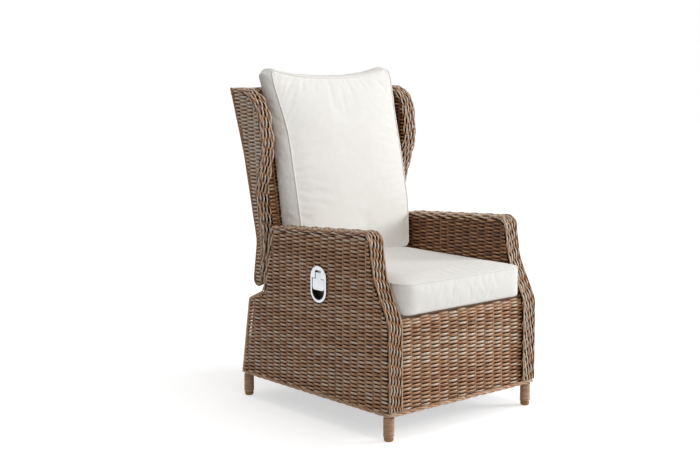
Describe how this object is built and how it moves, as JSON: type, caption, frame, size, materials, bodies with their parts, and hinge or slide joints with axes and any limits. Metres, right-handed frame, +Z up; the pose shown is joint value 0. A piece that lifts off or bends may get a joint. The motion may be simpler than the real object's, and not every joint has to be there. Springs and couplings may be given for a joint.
{
  "type": "reclining lounge chair",
  "caption": "Woven lounge armchair with a winged back that reclines on a heel hinge, held by a lockable gas spring that a pull paddle in the side releases.",
  "frame": {"origin": "on the floor, under the middle of the chair's box", "axes": "+Z up, the chair faces -Y, +X to the left hand of the person sitting in it"},
  "size_m": [0.7078, 0.766, 1.1106],
  "materials": {
    "weave": "round woven strands of mottled brown and grey resin",
    "frame_tube": "powder coated brown",
    "deck_board": "sealed board",
    "cushion_cover": "plain woven cover with piping",
    "chrome": "bright plating",
    "black_plastic": "moulded, satin",
    "bare_steel": "zinc plated",
    "nylon": "natural nylon",
    "glide": "moulded brown"
  },
  "bodies": {
    "base": {"left_arm_hoop": "frame_tube", "right_arm_hoop": "frame_tube", "bottom_side_rails": "frame_tube", "bottom_cross_rails": "frame_tube", "front_seat_rail": "frame_tube", "rear_seat_rail": "frame_tube", "seat_side_rails": "frame_tube", "mid_rail": "frame_tube", "rear_posts": "frame_tube", "shelf_rail": "frame_tube", "seat_deck": "deck_board", "left_outer_panel": "weave", "right_outer_panel": "weave", "left_inner_panel": "weave", "right_inner_panel": "weave", "left_arm_band": "weave", "right_arm_band": "weave", "front_panel": "weave", "rear_panel": "weave", "bottom_braid": "weave", "legs": "weave", "foot_glides": "glide", "hinge_lugs": "frame_tube", "hinge_bushes": "nylon", "hinge_bolts": "bare_steel", "gas_bracket": "frame_tube", "head_pin": "bare_steel", "handle_bezel": "chrome", "handle_cup": "black_plastic", "handle_backplate": "black_plastic", "paddle_pin": "bare_steel", "paddle_spring": "bare_steel", "release_cable": "black_plastic", "cable_anchor": "frame_tube", "seat_cushion": "cushion_cover"},
    "back": {"back_bottom_tube": "frame_tube", "back_stiles": "frame_tube", "back_top_tube": "frame_tube", "back_mid_tubes": "frame_tube", "wing_frames": "frame_tube", "back_rear_skin": "weave", "back_front_skin": "weave", "left_cheek_skin": "weave", "right_cheek_skin": "weave", "left_wing_lining": "weave", "right_wing_lining": "weave", "left_wing_band": "weave", "right_wing_band": "weave", "back_top_band": "weave", "crank": "frame_tube", "back_cushion": "cushion_cover"},
    "gas_rod": {"gas_rod": "bare_steel", "release_head": "black_plastic"},
    "gas_cylinder": {"gas_cylinder": "black_plastic", "crank_pin": "bare_steel"},
    "release_lever": {"release_lever": "bare_steel"},
    "release_paddle": {"release_paddle": "chrome"}
  },
  "joints": [
    {"name": "back_recline", "type": "hinge", "parent": "base", "child": "back", "pos_m": [0, 0.281, 0.41575], "axis": [-1, 0, 0], "range_deg": [0, 36]},
    {"name": "gas_swing", "type": "hinge", "parent": "base", "child": "gas_rod", "pos_m": [0, -0.0325, 0.312], "axis": [1, 0, 0], "range_deg": [0, 3.35]},
    {"name": "gas_slide", "type": "slide", "parent": "gas_rod", "child": "gas_cylinder", "axis": [0, 1, 0.0038], "range_m": [-0.0593, 0]},
    {"name": "paddle_pull", "type": "hinge", "parent": "base", "child": "release_paddle", "pos_m": [-0.321, -0.048, 0.482], "axis": [0, 1, 0], "range_deg": [0, 32], "stiffness_Nm_per_rad": 0.4},
    {"name": "lever_pull", "type": "hinge", "parent": "gas_rod", "child": "release_lever", "pos_m": [0, -0.0325, 0.312], "axis": [0, 1, 0.0038], "range_deg": [0, 15.1]}
  ],
  "couplings": [
    {"joint": "gas_swing", "follows": "back_recline", "ratio": 0.092399},
    {"joint": "gas_slide", "follows": "back_recline", "m_per_rad": -0.094203},
    {"joint": "lever_pull", "follows": "paddle_pull", "ratio": 0.469}
  ]
}
